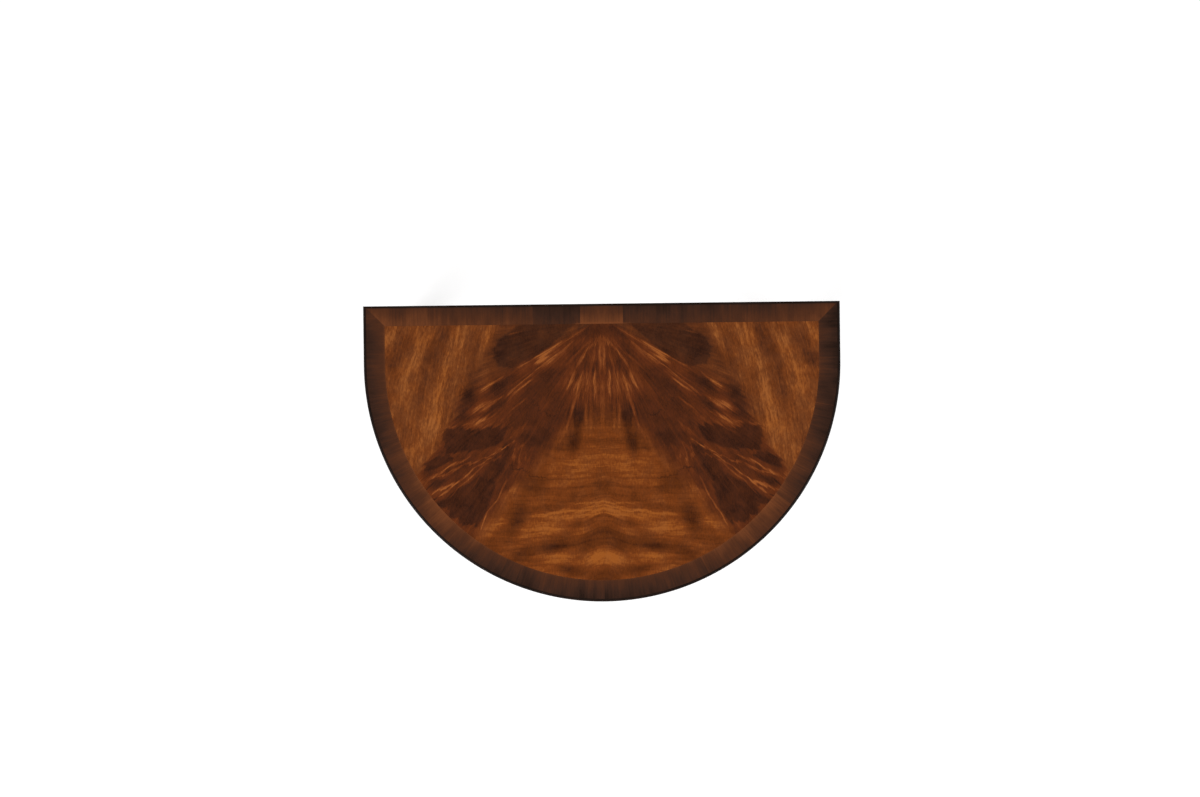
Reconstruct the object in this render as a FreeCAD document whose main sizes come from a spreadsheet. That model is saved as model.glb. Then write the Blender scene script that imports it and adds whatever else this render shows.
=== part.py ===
"""Demilune side table: a D-shaped veneered top on a bow apron and four tapered legs.

Millimetres. +X runs to the right along the back edge, +Y points to the wall and +Z is up.
The origin is on the floor, under the middle of the top's bounding box. Plan outlines are drawn
about the centre of the bow, and their angles run from the right-hand side towards the front.
"""
import FreeCAD
import Part
import math
import os

import Sketcher
from FreeCAD import Placement, Rotation, Vector

# Driving dimensions, in millimetres and degrees
SIZES = {
    # the top
    "top_width": 812.8,
    "side_length": 101.6,
    "table_height": 762.0,
    "core_thickness": 19.0,
    "face_veneer_thickness": 0.8,
    "backing_veneer_thickness": 0.8,
    "band_width": 31.75,
    "side_band_angle": 11.0,
    "back_band_centre_width": 73.0,
    "back_band_inner_width": 80.0,
    "lipping_width": 4.8,
    "lipping_nose_radius": 4.0,
    "back_lipping_width": 2.4,
    # the apron
    "top_overhang": 25.4,
    "back_overhang": 12.7,
    "apron_depth": 101.6,
    "apron_thickness": 22.0,
    "apron_tenon_length": 20.0,
    "apron_tenon_thickness": 9.0,
    "frieze_veneer_thickness": 0.8,
    "bead_height": 6.0,
    "bead_projection": 1.6,
    # the rails
    "rail_thickness": 22.0,
    "rail_setback": 2.0,
    "rail_tenon_length": 18.0,
    "rail_tenon_thickness": 9.0,
    "rail_tenon_depth": 50.0,
    "medial_rail_thickness": 22.0,
    "medial_rail_depth": 45.0,
    "housing_depth": 8.0,
    # the legs
    "front_leg_angle": 54.0,
    "leg_width": 44.45,
    "leg_proud": 3.0,
    "leg_square_drop": 12.0,
    "ankle_width": 27.0,
    "spade_width": 37.0,
    "spade_height": 85.0,
    "spade_flare": 9.0,
    "foot_width": 28.0,
    "arris_radius": 1.5,
    "bridle_thickness": 9.0,
    # the blocks inside the frame
    "block_height": 25.0,
    "corner_block_reach": 60.0,
    "leg_block_width": 22.0,
    "leg_block_height": 70.0,
    "screw_block_width": 50.0,
    "screw_block_depth": 25.0,
    "side_block_angle": 26.0,
    "front_block_angle": 74.0,
    "rail_block_offset": 170.0,
    # the screws and glides
    "screw_bite": 13.0,
    "screw_shank_radius": 2.1,
    "screw_head_radius": 4.2,
    "screw_head_height": 2.6,
    "screw_point_length": 5.0,
    "screw_slot_width": 1.0,
    "screw_slot_depth": 1.0,
    "glide_height": 5.0,
    "glide_base_radius": 8.0,
    "glide_top_radius": 9.5,
    "nail_bite": 14.0,
    "nail_radius": 1.3,
    "nail_head_radius": 3.2,
    "nail_head_height": 1.2,
    "nail_recess": 1.0,
    # room for glue behind a tenon, and how far a cutting box passes its work
    "mortise_clearance": 1.0,
    "cut_overrun": 5.0,
}

# Brick joints of the apron's courses: two as shares of the run from side to front leg, then one as
# a share of the run from front leg to front centre
ODD_JOINT_SHARES = (0.25, 0.70, 0.35)
EVEN_JOINT_SHARES = (0.48, 0.88, 0.67)
COURSES = 4
TENONED_COURSES = (2, 3)
CURVED_BANDS = 3

RIGHT_ANGLE = 90
LEFTWARD = 1
RIGHTWARD = -1
SIDES = {"right": 1, "left": -1}


class Measure:
    """A sheet cell, or a sum of cells: its expression and what it comes to."""

    def __init__(self, text, value):
        self.text = text
        self.value = value

    def __add__(self, other):
        other = measure(other)
        return Measure(f"({self.text} + {other.text})", self.value + other.value)

    def __sub__(self, other):
        other = measure(other)
        return Measure(f"({self.text} - {other.text})", self.value - other.value)

    def __rsub__(self, other):
        return measure(other) - self

    def __mul__(self, other):
        other = measure(other)
        return Measure(f"({self.text} * {other.text})", self.value * other.value)

    def __truediv__(self, other):
        other = measure(other)
        return Measure(f"({self.text} / {other.text})", self.value / other.value)

    def __neg__(self):
        return Measure(f"(-{self.text})", -self.value)


def measure(number):
    """A plain number as a Measure."""
    if isinstance(number, Measure):
        return number
    return Measure(str(number), number)


def cosine(angle):
    return Measure(f"cos({angle.text})", math.cos(math.radians(angle.value)))


def sine(angle):
    return Measure(f"sin({angle.text})", math.sin(math.radians(angle.value)))


def other_leg(hypotenuse, leg):
    """The second short side of a right-angled triangle."""
    square = hypotenuse * hypotenuse - leg * leg
    return Measure(f"sqrt({square.text})", math.sqrt(square.value))


ZERO = measure(0)

doc = FreeCAD.newDocument("DemiluneTable")
size_sheet = doc.addObject("Spreadsheet::Sheet", "Sizes")
plan_sheet = doc.addObject("Spreadsheet::Sheet", "Plan")
filled_rows = {size_sheet.Name: 0, plan_sheet.Name: 0}


def write_cell(sheet, name, content, value):
    """Fills the next row of a sheet: the name beside its aliased cell."""
    filled_rows[sheet.Name] += 1
    row = filled_rows[sheet.Name]
    sheet.set(f"A{row}", name)
    sheet.set(f"B{row}", content)
    sheet.setAlias(f"B{row}", name)
    return Measure(f"{sheet.Name}.{name}", value)


def derived(name, total):
    """Writes one worked-out place into the sheet of the plan."""
    return write_cell(plan_sheet, name, f"={total.text}", total.value)


size = {name: write_cell(size_sheet, name, str(value), value) for name, value in SIZES.items()}

# Plan of the top: the bow's centre lies a side's length in front of the back edge
half_width = derived("half_width", size["top_width"] / 2)
bow_centre_y = derived("bow_centre_y", (half_width - size["side_length"]) / 2)
core_radius = derived("core_radius", half_width - size["lipping_width"])
core_back = derived("core_back", size["side_length"] - size["back_lipping_width"])
field_radius = derived("field_radius", core_radius - size["band_width"])
field_back = derived("field_back", core_back - size["band_width"])

# Heights, from the top surface down
core_top = derived("core_top", size["table_height"] - size["face_veneer_thickness"])
core_base = derived("core_base", core_top - size["core_thickness"])
frame_top = derived("frame_top", core_base - size["backing_veneer_thickness"])
apron_base = derived("apron_base", frame_top - size["apron_depth"])
bead_base = derived("bead_base", apron_base - size["bead_height"])
course_height = derived("course_height", size["apron_depth"] / COURSES)
block_base = derived("block_base", frame_top - size["block_height"])

# Plan of the frame
frieze_radius = derived("frieze_radius", half_width - size["top_overhang"])
apron_radius = derived("apron_radius", frieze_radius - size["frieze_veneer_thickness"])
apron_inner = derived("apron_inner", apron_radius - size["apron_thickness"])
apron_middle = derived("apron_middle", (apron_radius + apron_inner) / 2)
leg_outer = derived("leg_outer", frieze_radius + size["leg_proud"])
leg_inner = derived("leg_inner", leg_outer - size["leg_width"])
half_leg = derived("half_leg", size["leg_width"] / 2)
frame_back = derived("frame_back", size["side_length"] - size["back_overhang"])
back_leg_front = derived("back_leg_front", frame_back - size["leg_width"])
rail_back = derived("rail_back", frame_back - size["rail_setback"])
rail_inner = derived("rail_inner", rail_back - size["rail_thickness"])
rail_middle = derived("rail_middle", (rail_back + rail_inner) / 2)


def polar(radius, angle):
    """A plan point on a circle about the bow's centre."""
    return radius * cosine(angle), -(radius * sine(angle))


def beside_leg(along, across):
    """A plan point by its distance along a front leg's spoke and across it, towards the front."""
    angle = size["front_leg_angle"]
    x = along * cosine(angle) - across * sine(angle)
    y = -(along * sine(angle)) - across * cosine(angle)
    return x, y


def at_leg_side(radius, across):
    """Where a circle about the bow's centre meets one side of a front leg."""
    return beside_leg(other_leg(radius, across), across)


def bend(point, radius, turn):
    """An outline corner from which an arc leads on to the next corner."""
    return (*point, radius, turn)


def mirrored(outline, side):
    """The outline as it is on the right, or its mirror image for the left."""
    if side == SIDES["right"]:
        return outline
    flipped = []
    for corner in outline:
        straight = (-corner[0], corner[1])
        flipped.append(straight if len(corner) == 2 else bend(straight, corner[2], -corner[3]))
    return flipped


def arc_between(here, there, radius, turn):
    """The shorter arc from one point to the next, turning left or right."""
    chord = there - here
    rise = math.sqrt(radius ** 2 - (chord.Length / 2) ** 2)
    normal = Vector(-chord.y, chord.x, 0).normalize()
    centre = (here + there) / 2 + normal * rise * turn
    first, last = (here, there) if turn == LEFTWARD else (there, here)
    start = math.atan2(first.y - centre.y, first.x - centre.x)
    end = math.atan2(last.y - centre.y, last.x - centre.x)
    if end < start:
        end += 2 * math.pi
    return Part.ArcOfCircle(Part.Circle(centre, Vector(0, 0, 1), radius), start, end)


def bind_constraint(sketch, constraint, bound):
    index = sketch.addConstraint(constraint)
    sketch.setExpression(f"Constraints[{index}]", bound.text)


def pin_corner(sketch, edge, end, x, y):
    """Holds one sketch corner at sheet distances from the two axes."""
    for kind, axis, distance in (("DistanceX", -2, x), ("DistanceY", -1, y)):
        if distance is ZERO:
            sketch.addConstraint(Sketcher.Constraint("PointOnObject", edge, end, axis))
        else:
            held = Sketcher.Constraint(kind, -1, 1, edge, end, distance.value)
            bind_constraint(sketch, held, distance)


def sketch_outline(body, name, plane, outline):
    """A closed sketch of straight runs and arcs, with every corner bound to the sheets."""
    sketch = body.newObject("Sketcher::SketchObject", name)
    support = next(feature for feature in body.Origin.OriginFeatures if feature.Role == plane)
    sketch.AttachmentSupport = [(support, "")]
    sketch.MapMode = "FlatFace"
    points = [Vector(corner[0].value, corner[1].value, 0) for corner in outline]
    ends = []
    for index, corner in enumerate(outline):
        here = points[index]
        there = points[(index + 1) % len(points)]
        if len(corner) == 2:
            edge = sketch.addGeometry(Part.LineSegment(here, there))
            ends.append((edge, 1, 2))
            continue
        radius, turn = corner[2:]
        edge = sketch.addGeometry(arc_between(here, there, radius.value, turn))
        ends.append((edge, 1, 2) if turn == LEFTWARD else (edge, 2, 1))
        bind_constraint(sketch, Sketcher.Constraint("Radius", edge, radius.value), radius)
    for index, corner in enumerate(outline):
        before, _, before_end = ends[index - 1]
        edge, start, _ = ends[index]
        sketch.addConstraint(Sketcher.Constraint("Coincident", before, before_end, edge, start))
        pin_corner(sketch, edge, start, corner[0], corner[1])
    return sketch


def place(piece, x, y, z, turn=ZERO):
    """Binds a piece's place in the table, and its turn about the vertical."""
    piece.Placement = Placement(Vector(0, 0, 0), Rotation(Vector(0, 0, 1), 1))
    for path, bound in (("Base.x", x), ("Base.y", y), ("Base.z", z), ("Rotation.Angle", turn)):
        piece.setExpression(f"Placement.{path}", bound.text)
    return piece


def add_pad(body, sketch, length, reverse=False):
    pad = body.newObject("PartDesign::Pad", f"{body.Name}_pad")
    pad.Profile = sketch
    pad.setExpression("Length", length.text)
    pad.Reversed = reverse
    return pad


def add_revolution(body, sketch, angle, reverse=False):
    turned = body.newObject("PartDesign::Revolution", f"{body.Name}_turned")
    turned.Profile = sketch
    turned.ReferenceAxis = (sketch, ["V_Axis"])
    turned.setExpression("Angle", angle.text)
    turned.Reversed = reverse
    return turned


def plan_piece(name, outline, base, height, turn=ZERO):
    """A piece with upright sides: its plan outline about the bow's centre, raised from base."""
    body = doc.addObject("PartDesign::Body", name)
    add_pad(body, sketch_outline(body, f"{name}_plan", "XY_Plane", outline), height)
    return place(body, ZERO, bow_centre_y, base, turn)


def turned_piece(name, profile, x, y, z):
    """A round piece: its half profile turned about an upright axis."""
    body = doc.addObject("PartDesign::Body", name)
    sketch = sketch_outline(body, f"{name}_profile", "XZ_Plane", profile)
    add_revolution(body, sketch, measure(4 * RIGHT_ANGLE))
    return place(body, x, bow_centre_y + y, z)


def moulding(name, profile, side, base, sweep, straight=None, start=ZERO):
    """A moulding that follows the bow from a start angle, with a straight run behind it."""
    body = doc.addObject("PartDesign::Body", name)
    sketch = sketch_outline(body, f"{name}_profile", "XZ_Plane", mirrored(profile, side))
    if straight is not None:
        add_pad(body, sketch, straight, reverse=True)
    add_revolution(body, sketch, sweep, reverse=side == SIDES["right"])
    return place(body, ZERO, bow_centre_y, base, -start)


def box(name, x, y, z, length, width, height, turn=ZERO):
    """A box by one corner in plan about the bow's centre, turned about that centre."""
    piece = doc.addObject("Part::Box", name)
    for path, bound in (("Length", length), ("Width", width), ("Height", height)):
        piece.setExpression(path, bound.text)
    turned_x = x * cosine(turn) - y * sine(turn)
    turned_y = x * sine(turn) + y * cosine(turn)
    return place(piece, turned_x, bow_centre_y + turned_y, z, turn)


def cut(name, base, tools):
    """A piece with the tool shapes taken out of it."""
    group = doc.addObject("Part::Compound", f"{name}_cuts")
    group.Links = tools
    result = doc.addObject("Part::Cut", name)
    result.Base = base
    result.Tool = group
    return result


def together(name, pieces):
    """Separate pieces kept in one node."""
    group = doc.addObject("Part::Compound", name)
    group.Links = pieces
    return group


def leg_turn(side):
    """The turn that points a front leg's outer face away from the bow's centre."""
    if side == SIDES["right"]:
        return -size["front_leg_angle"]
    return size["front_leg_angle"] + 2 * RIGHT_ANGLE


def leg_square(name, side):
    """The square of a front leg where the apron, veneer and bead meet it."""
    height = size["apron_depth"] + size["bead_height"]
    width = size["leg_width"]
    return box(name, leg_inner, -half_leg, bead_base, width, width, height, leg_turn(side))


def bow_outline(radius, back):
    """The whole D: straight back, straight sides and a half-round bow."""
    right = bend((radius, ZERO), radius, RIGHTWARD)
    front = bend((ZERO, -radius), radius, RIGHTWARD)
    return [(-radius, back), (radius, back), right, front, (-radius, ZERO)]


def screw_places():
    """Plan places of the top's screws on the right-hand half."""
    inset = size["screw_block_depth"] / 2
    hypotenuse_x = leg_inner - size["corner_block_reach"] + apron_inner
    corner = ((hypotenuse_x + leg_inner * 2) / 4, (rail_inner + back_leg_front * 2) / 4)
    return {
        "corner": corner,
        "side": polar(apron_inner - inset, size["side_block_angle"]),
        "front": polar(apron_inner - inset, size["front_block_angle"]),
        "rail": (size["rail_block_offset"], rail_inner - inset),
    }


def make_screws():
    """Countersunk slotted screws that rise through the blocks into the top."""
    length = size["block_height"] + size["backing_veneer_thickness"] + size["screw_bite"]
    profile = [
        (ZERO, ZERO),
        (size["screw_head_radius"], ZERO),
        (size["screw_shank_radius"], size["screw_head_height"]),
        (size["screw_shank_radius"], length - size["screw_point_length"]),
        (ZERO, length),
    ]
    reach = size["screw_head_radius"] + size["cut_overrun"]
    depth = size["screw_slot_depth"] + size["cut_overrun"]
    slot_base = block_base - size["cut_overrun"]
    slot_width = size["screw_slot_width"]
    holes = {}
    screws = []
    for hand, side in SIDES.items():
        for where, (x, y) in screw_places().items():
            name = f"screw_{where}_{hand}"
            x = x * side
            whole = turned_piece(f"{name}_blank", profile, x, y, block_base)
            slot_x = x - slot_width / 2
            slot = box(f"{name}_slot", slot_x, y - reach, slot_base, slot_width, reach * 2, depth)
            holes[where, hand] = whole
            screws.append(cut(name, whole, [slot]))
    return holes, together("top_screws", screws)


def make_top(holes):
    """The core board, its balancing veneer and the two book-matched leaves."""
    outline = bow_outline(core_radius, core_back)
    board = plan_piece("core_board", outline, core_base, size["core_thickness"])
    sheet = plan_piece("backing_sheet", outline, frame_top, size["backing_veneer_thickness"])
    parts = {
        "top_core": cut("top_core", board, holes),
        "backing_veneer": cut("backing_veneer", sheet, holes),
    }
    leaf = [
        (ZERO, field_back),
        (field_radius, field_back),
        bend((field_radius, ZERO), field_radius, RIGHTWARD),
        (ZERO, -field_radius),
    ]
    for hand, side in SIDES.items():
        name = f"veneer_leaf_{hand}"
        parts[name] = plan_piece(name, mirrored(leaf, side), core_top, size["face_veneer_thickness"])
    return parts


def band_piece(name, outline, side=SIDES["right"]):
    return plan_piece(name, mirrored(outline, side), core_top, size["face_veneer_thickness"])


def make_back_bands():
    """Crossbanding along the back: a middle piece, two inner and two mitred outer ones."""
    centre = size["back_band_centre_width"] / 2
    inner = centre + size["back_band_inner_width"]
    middle = [(-centre, field_back), (centre, field_back), (centre, core_back), (-centre, core_back)]
    parts = {"back_band_centre": band_piece("back_band_centre", middle)}
    beside = [(centre, field_back), (inner, field_back), (inner, core_back), (centre, core_back)]
    end = [(inner, field_back), (field_radius, field_back), (core_radius, core_back), (inner, core_back)]
    for hand, side in SIDES.items():
        parts[f"back_band_inner_{hand}"] = band_piece(f"back_band_inner_{hand}", beside, side)
        parts[f"back_band_outer_{hand}"] = band_piece(f"back_band_outer_{hand}", end, side)
    return parts


def make_bow_bands():
    """Crossbanding along the sides, mitred at the back, and in short lengths round the bow."""
    first = size["side_band_angle"]
    step = (RIGHT_ANGLE - first) / CURVED_BANDS
    straight = [
        (field_radius, field_back),
        (core_radius, core_back),
        bend((core_radius, ZERO), core_radius, RIGHTWARD),
        polar(core_radius, first),
        bend(polar(field_radius, first), field_radius, LEFTWARD),
        (field_radius, ZERO),
    ]
    parts = {}
    for hand, side in SIDES.items():
        parts[f"side_band_{hand}"] = band_piece(f"side_band_{hand}", straight, side)
        for number in range(CURVED_BANDS):
            start = first + step * number
            outer_end = polar(core_radius, start + step)
            inner_end = polar(field_radius, start + step)
            if number == CURVED_BANDS - 1:
                outer_end = (ZERO, -core_radius)
                inner_end = (ZERO, -field_radius)
            curved = [
                bend(polar(core_radius, start), core_radius, RIGHTWARD),
                outer_end,
                bend(inner_end, field_radius, LEFTWARD),
                polar(field_radius, start),
            ]
            name = f"bow_band_{hand}_{number + 1}"
            parts[name] = band_piece(name, curved, side)
    return parts


def make_lippings():
    """Round-nosed lipping along the sides and bow, and a thin square one along the back."""
    radius = size["lipping_nose_radius"]
    thickness = size["table_height"] - frame_top
    profile = [
        (core_radius, ZERO),
        bend((half_width - radius, ZERO), radius, LEFTWARD),
        (half_width, radius),
        bend((half_width, thickness - radius), radius, LEFTWARD),
        (half_width - radius, thickness),
        (core_radius, thickness),
    ]
    strip = [
        (-core_radius, core_back),
        (core_radius, core_back),
        (core_radius, size["side_length"]),
        (-core_radius, size["side_length"]),
    ]
    parts = {"edge_lipping_back": plan_piece("edge_lipping_back", strip, frame_top, thickness)}
    for hand, side in SIDES.items():
        name = f"edge_lipping_{hand}"
        quarter = measure(RIGHT_ANGLE)
        parts[name] = moulding(name, profile, side, frame_top, quarter, size["side_length"])
    return parts


def end_brick(joint, tenoned):
    """The brick beside a back leg, with its tongue where the course is tenoned."""
    outline = [
        (apron_radius, back_leg_front),
        bend((apron_radius, ZERO), apron_radius, RIGHTWARD),
        polar(apron_radius, joint),
        bend(polar(apron_inner, joint), apron_inner, LEFTWARD),
        (apron_inner, ZERO),
        (apron_inner, back_leg_front),
    ]
    if tenoned:
        half = size["apron_tenon_thickness"] / 2
        tip = back_leg_front + size["apron_tenon_length"]
        outline += [
            (apron_middle - half, back_leg_front),
            (apron_middle - half, tip),
            (apron_middle + half, tip),
            (apron_middle + half, back_leg_front),
        ]
    return outline


def plain_brick(start, end_outer, end_inner):
    """A brick between two joints of the bow."""
    return [
        bend(polar(apron_radius, start), apron_radius, RIGHTWARD),
        end_outer,
        bend(end_inner, apron_inner, LEFTWARD),
        polar(apron_inner, start),
    ]


def leg_brick(start, end):
    """A brick thinned to a flat tongue where a front leg straddles it."""
    half = size["bridle_thickness"] / 2
    return [
        bend(polar(apron_radius, start), apron_radius, RIGHTWARD),
        at_leg_side(apron_radius, -half_leg),
        beside_leg(apron_middle + half, -half_leg),
        beside_leg(apron_middle + half, half_leg),
        bend(at_leg_side(apron_radius, half_leg), apron_radius, RIGHTWARD),
        polar(apron_radius, end),
        bend(polar(apron_inner, end), apron_inner, LEFTWARD),
        at_leg_side(apron_inner, half_leg),
        beside_leg(apron_middle - half, half_leg),
        beside_leg(apron_middle - half, -half_leg),
        bend(at_leg_side(apron_inner, -half_leg), apron_inner, LEFTWARD),
        polar(apron_inner, start),
    ]


def centre_brick(joint):
    """A brick across the middle of the bow, the same on both sides of it."""
    outer = polar(apron_radius, joint)
    inner = polar(apron_inner, joint)
    return [
        bend(outer, apron_radius, RIGHTWARD),
        bend((ZERO, -apron_radius), apron_radius, RIGHTWARD),
        (-outer[0], outer[1]),
        bend((-inner[0], inner[1]), apron_inner, LEFTWARD),
        bend((ZERO, -apron_inner), apron_inner, LEFTWARD),
        inner,
    ]


def make_course(number, medial_rail):
    """One course of the apron: sawn bricks end to end, housed for the medial rail in front."""
    name = f"apron_course_{number}"
    base = apron_base + course_height * (number - 1)
    odd = number % 2 == 1
    side_share, leg_share, front_share = ODD_JOINT_SHARES if odd else EVEN_JOINT_SHARES
    to_leg = size["front_leg_angle"]
    first = to_leg * side_share
    second = to_leg * leg_share
    third = to_leg + (RIGHT_ANGLE - to_leg) * front_share
    outlines = {
        "end": end_brick(first, number in TENONED_COURSES),
        "side": plain_brick(first, polar(apron_radius, second), polar(apron_inner, second)),
        "leg": leg_brick(second, third),
    }
    bricks = []
    for hand, side in SIDES.items():
        for where, outline in outlines.items():
            brick = plan_piece(f"{name}_{where}_{hand}", mirrored(outline, side), base, course_height)
            bricks.append(brick)
        if odd:
            halved = plain_brick(third, (ZERO, -apron_radius), (ZERO, -apron_inner))
            front = plan_piece(f"{name}_blank_{hand}", mirrored(halved, side), base, course_height)
            bricks.append(cut(f"{name}_front_{hand}", front, [medial_rail]))
    if not odd:
        front = plan_piece(f"{name}_blank", centre_brick(third), base, course_height)
        bricks.append(cut(f"{name}_front", front, [medial_rail]))
    return together(name, bricks)


def make_frieze():
    """Frieze veneer on the apron, in three lengths between the legs."""
    side_length = [
        (frieze_radius, back_leg_front),
        bend((frieze_radius, ZERO), frieze_radius, RIGHTWARD),
        at_leg_side(frieze_radius, -half_leg),
        bend(at_leg_side(apron_radius, -half_leg), apron_radius, LEFTWARD),
        (apron_radius, ZERO),
        (apron_radius, back_leg_front),
    ]
    outer = at_leg_side(frieze_radius, half_leg)
    inner = at_leg_side(apron_radius, half_leg)
    front_length = [
        bend(outer, frieze_radius, RIGHTWARD),
        bend((ZERO, -frieze_radius), frieze_radius, RIGHTWARD),
        (-outer[0], outer[1]),
        bend((-inner[0], inner[1]), apron_radius, LEFTWARD),
        bend((ZERO, -apron_radius), apron_radius, LEFTWARD),
        inner,
    ]
    height = size["apron_depth"]
    parts = {"frieze_veneer_front": plan_piece("frieze_veneer_front", front_length, apron_base, height)}
    for hand, side in SIDES.items():
        name = f"frieze_veneer_{hand}"
        parts[name] = plan_piece(name, mirrored(side_length, side), apron_base, height)
    return parts


def make_beads(leg_squares):
    """Half-round bead that closes the apron's lower edge, in three lengths between the legs."""
    height = size["bead_height"]
    nose = height / 2
    face = frieze_radius + size["bead_projection"]
    profile = [
        (apron_inner, ZERO),
        bend((face - nose, ZERO), nose, LEFTWARD),
        bend((face, nose), nose, LEFTWARD),
        (face - nose, height),
        (apron_inner, height),
    ]
    to_leg = size["front_leg_angle"]
    between = 2 * RIGHT_ANGLE - to_leg * 2
    front = moulding("bead_front_blank", profile, SIDES["right"], bead_base, between, start=to_leg)
    parts = {"apron_bead_front": cut("apron_bead_front", front, list(leg_squares.values()))}
    for hand, side in SIDES.items():
        blank = moulding(f"bead_{hand}_blank", profile, side, bead_base, to_leg, back_leg_front)
        parts[f"apron_bead_{hand}"] = cut(f"apron_bead_{hand}", blank, [leg_squares[hand]])
    return parts


def rectangle(low_x, high_x, low_y, high_y):
    return [(low_x, low_y), (high_x, low_y), (high_x, high_y), (low_x, high_y)]


def rail_tenon_base():
    return frame_top - (size["apron_depth"] + size["rail_tenon_depth"]) / 2


def make_rails():
    """The back rail with a tenon at each end, and the medial rail housed in it and in the apron."""
    half = size["medial_rail_thickness"] / 2
    back_end = rail_inner + size["housing_depth"]
    front_end = -apron_inner - size["housing_depth"]
    depth = size["medial_rail_depth"]
    medial_plan = rectangle(-half, half, front_end, back_end)
    medial = plan_piece("medial_rail", medial_plan, frame_top - depth, depth)
    whole = doc.addObject("PartDesign::Body", "back_rail_blank")
    rail_plan = rectangle(-leg_inner, leg_inner, rail_inner, rail_back)
    add_pad(whole, sketch_outline(whole, "back_rail_plan", "XY_Plane", rail_plan), size["apron_depth"])
    reach = leg_inner + size["rail_tenon_length"]
    half_tenon = size["rail_tenon_thickness"] / 2
    tenon_plan = rectangle(-reach, reach, rail_middle - half_tenon, rail_middle + half_tenon)
    tenons = sketch_outline(whole, "back_rail_tenons", "XY_Plane", tenon_plan)
    tenons.setExpression("AttachmentOffset.Base.z", (rail_tenon_base() - apron_base).text)
    add_pad(whole, tenons, size["rail_tenon_depth"])
    place(whole, ZERO, bow_centre_y, apron_base)
    return {"back_rail": cut("back_rail", whole, [medial]), "medial_rail": medial}


def rounded_square(width):
    """A leg's section: a square with eased arrises."""
    radius = size["arris_radius"]
    half = width / 2
    near = half - radius
    return [
        bend((near, -half), radius, LEFTWARD),
        (half, -near),
        bend((half, near), radius, LEFTWARD),
        (near, half),
        bend((-near, half), radius, LEFTWARD),
        (-half, near),
        bend((-half, -near), radius, LEFTWARD),
        (-near, -half),
    ]


def leg_blank(name, x, y, turn):
    """A square leg that tapers to an ankle and ends in a spade foot."""
    body = doc.addObject("PartDesign::Body", name)
    square_base = bead_base - size["leg_square_drop"]
    spade_top = size["glide_height"] + size["spade_height"]
    levels = (
        (size["leg_width"], square_base),
        (size["ankle_width"], spade_top + size["spade_flare"]),
        (size["spade_width"], spade_top),
        (size["foot_width"], size["glide_height"]),
    )
    sections = []
    for number, (width, level) in enumerate(levels):
        section = sketch_outline(body, f"{name}_section_{number}", "XY_Plane", rounded_square(width))
        section.setExpression("AttachmentOffset.Base.z", level.text)
        sections.append(section)
    add_pad(body, sections[0], frame_top - square_base)
    taper = body.newObject("PartDesign::AdditiveLoft", f"{name}_taper")
    taper.Profile = sections[0]
    taper.Sections = sections[1:]
    taper.Ruled = True
    return place(body, x, y, ZERO, turn)


def make_front_leg(hand, nail):
    """A front leg, forked over the tongue of the apron."""
    side = SIDES[hand]
    turn = leg_turn(side)
    axis = leg_inner + half_leg
    name = f"front_leg_{hand}"
    centre_y = bow_centre_y + axis * sine(turn)
    blank = leg_blank(f"{name}_blank", axis * cosine(turn), centre_y, turn)
    overrun = size["cut_overrun"]
    thickness = size["bridle_thickness"]
    near = apron_middle - thickness / 2
    width = size["leg_width"] + overrun * 2
    height = size["apron_depth"] + overrun
    fork = box(f"{name}_fork", near, -half_leg - overrun, apron_base, thickness, width, height, turn)
    return cut(name, blank, [fork, nail])


def make_back_leg(hand, nail):
    """A back leg, mortised for the apron's end and for the back rail."""
    side = SIDES[hand]
    name = f"back_leg_{hand}"
    blank_x = (leg_inner + half_leg) * side
    blank = leg_blank(f"{name}_blank", blank_x, bow_centre_y + frame_back - half_leg, ZERO)
    room = size["mortise_clearance"]
    width = size["apron_tenon_thickness"]
    reach = size["apron_tenon_length"] + room
    x = apron_middle * side - width / 2
    base = apron_base + course_height * (TENONED_COURSES[0] - 1)
    height = course_height * len(TENONED_COURSES)
    apron_mortise = box(f"{name}_apron_mortise", x, back_leg_front, base, width, reach, height)
    width = size["rail_tenon_thickness"]
    reach = size["rail_tenon_length"] + room
    x = leg_inner if side == SIDES["right"] else -leg_inner - reach
    y = rail_middle - width / 2
    height = size["rail_tenon_depth"]
    rail_mortise = box(f"{name}_rail_mortise", x, y, rail_tenon_base(), reach, width, height)
    return cut(name, blank, [apron_mortise, rail_mortise, nail])


def foot_places():
    """Plan places of the four feet."""
    axis = leg_inner + half_leg
    places = {}
    for hand, side in SIDES.items():
        turn = leg_turn(side)
        places["front", hand] = (axis * cosine(turn), axis * sine(turn))
        places["back", hand] = (axis * side, frame_back - half_leg)
    return places


def make_glides():
    """Nail-on glides: a dished pad under each foot, and the nail that holds it."""
    recess = size["nail_recess"]
    head_top = recess + size["nail_head_height"]
    tip = size["glide_height"] + size["nail_bite"]
    nail_profile = [
        (ZERO, recess),
        (size["nail_head_radius"], recess),
        (size["nail_head_radius"], head_top),
        (size["nail_radius"], head_top),
        (size["nail_radius"], tip),
        (ZERO, tip),
    ]
    pad_profile = [
        (size["nail_head_radius"], ZERO),
        (size["glide_base_radius"], ZERO),
        (size["glide_top_radius"], size["glide_height"]),
        (size["nail_radius"], size["glide_height"]),
        (size["nail_radius"], head_top),
        (size["nail_head_radius"], head_top),
    ]
    nails = {}
    pads = []
    for (row, hand), (x, y) in foot_places().items():
        nails[row, hand] = turned_piece(f"nail_{row}_{hand}", nail_profile, x, y, ZERO)
        pads.append(turned_piece(f"pad_{row}_{hand}", pad_profile, x, y, ZERO))
    parts = {
        "glide_pads": together("glide_pads", pads),
        "glide_nails": together("glide_nails", list(nails.values())),
    }
    return nails, parts


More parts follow.
